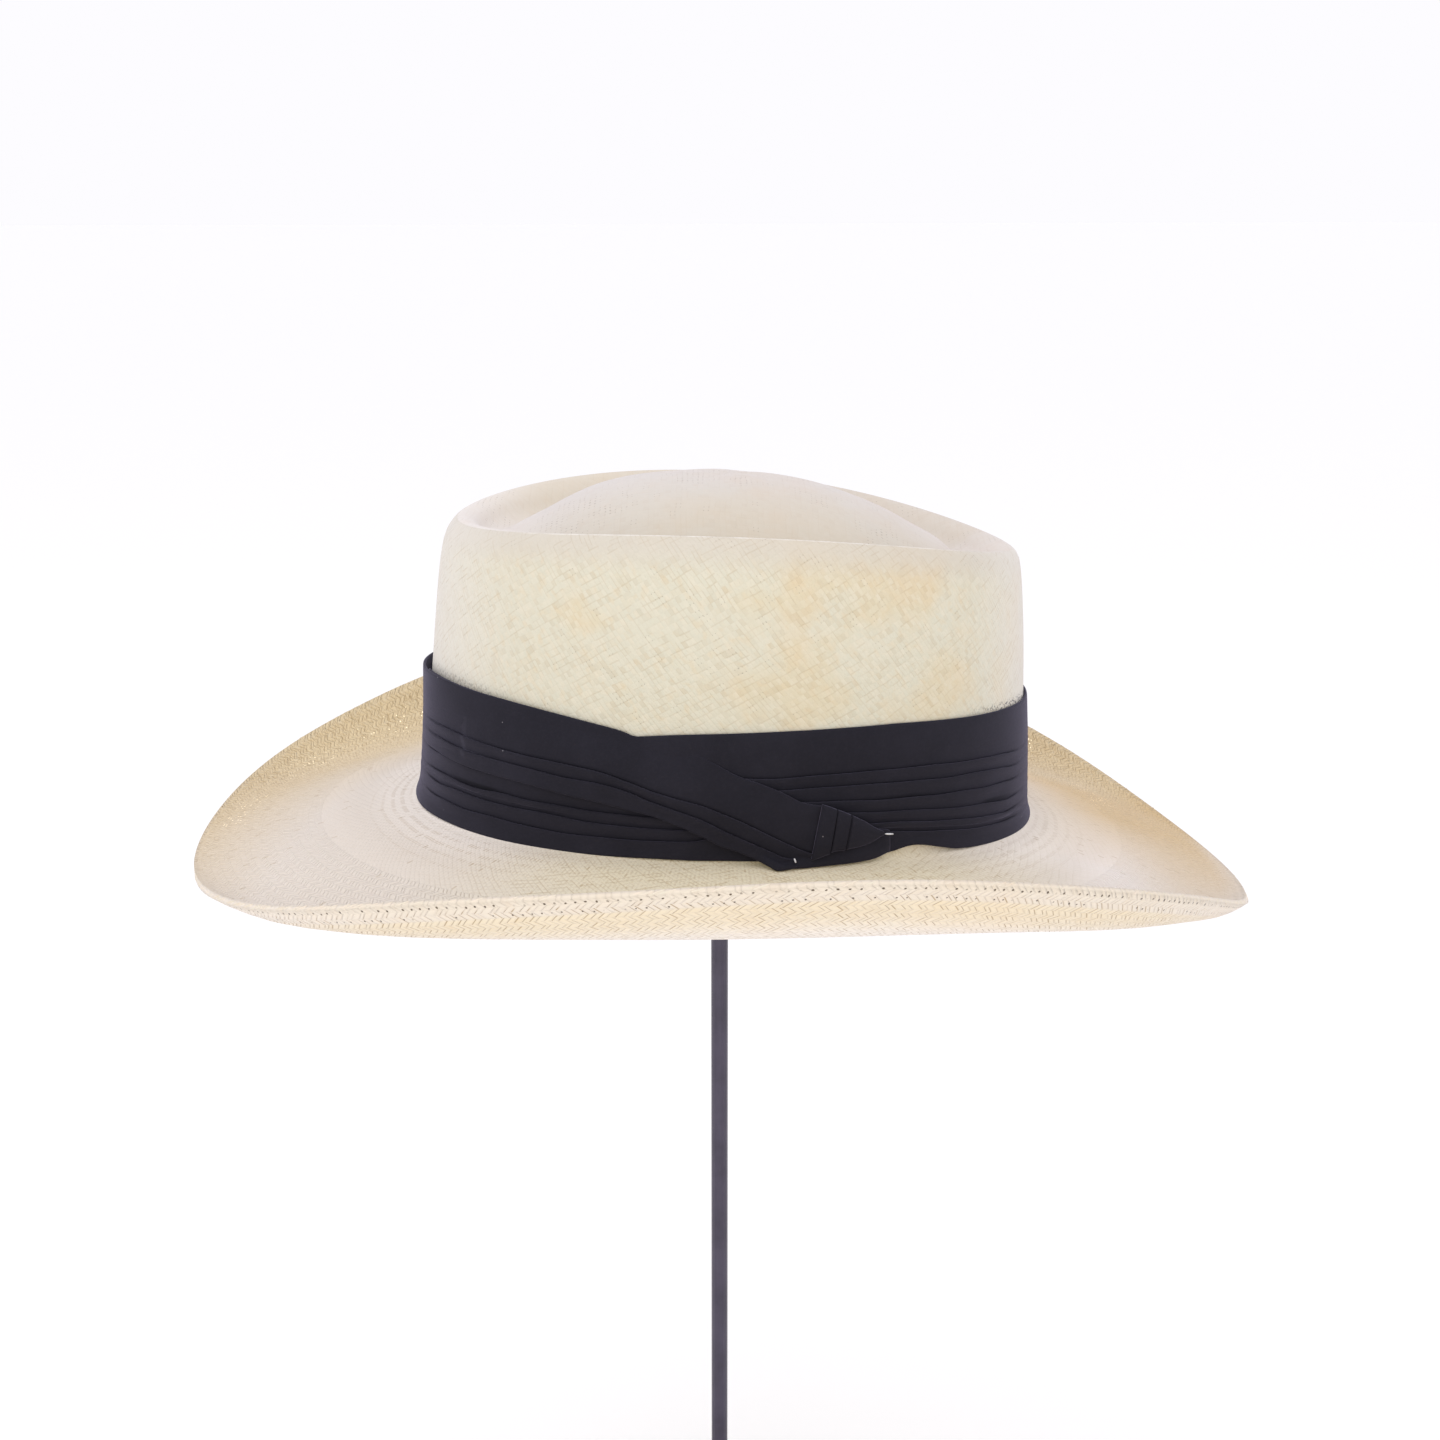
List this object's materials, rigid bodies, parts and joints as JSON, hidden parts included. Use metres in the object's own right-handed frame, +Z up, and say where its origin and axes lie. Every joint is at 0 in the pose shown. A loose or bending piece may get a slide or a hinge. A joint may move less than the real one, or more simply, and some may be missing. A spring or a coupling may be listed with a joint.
{
  "type": "gambler hat on a display stand",
  "caption": "Woven straw gambler hat with a telescope crown, a side-rolled brim and a pleated black cloth band, held up on a plain thin display post with a round base.",
  "frame": {"origin": "centre of the underside of the stand's round base, where it stands on a table", "axes": "+Z up along the post, +X towards the back of the hat, -X towards its front, -Y towards the wearer's left, where the hatband is joined"},
  "size_m": [0.3565, 0.3273, 0.4403],
  "materials": {
    "straw": "matte woven toquilla straw, natural cream with tan strands",
    "band_cloth": "matte black cotton cloth with a fine plain weave",
    "post_paint": "dark grey-violet satin paint on steel"
  },
  "bodies": {
    "root": {"straw_body": "straw", "hatband": "band_cloth", "band_swath": "band_cloth", "band_tab": "band_cloth", "band_tuck": "band_cloth", "stand_base": "post_paint", "stand_post": "post_paint", "stand_rest": "post_paint"}
  },
  "joints": []
}
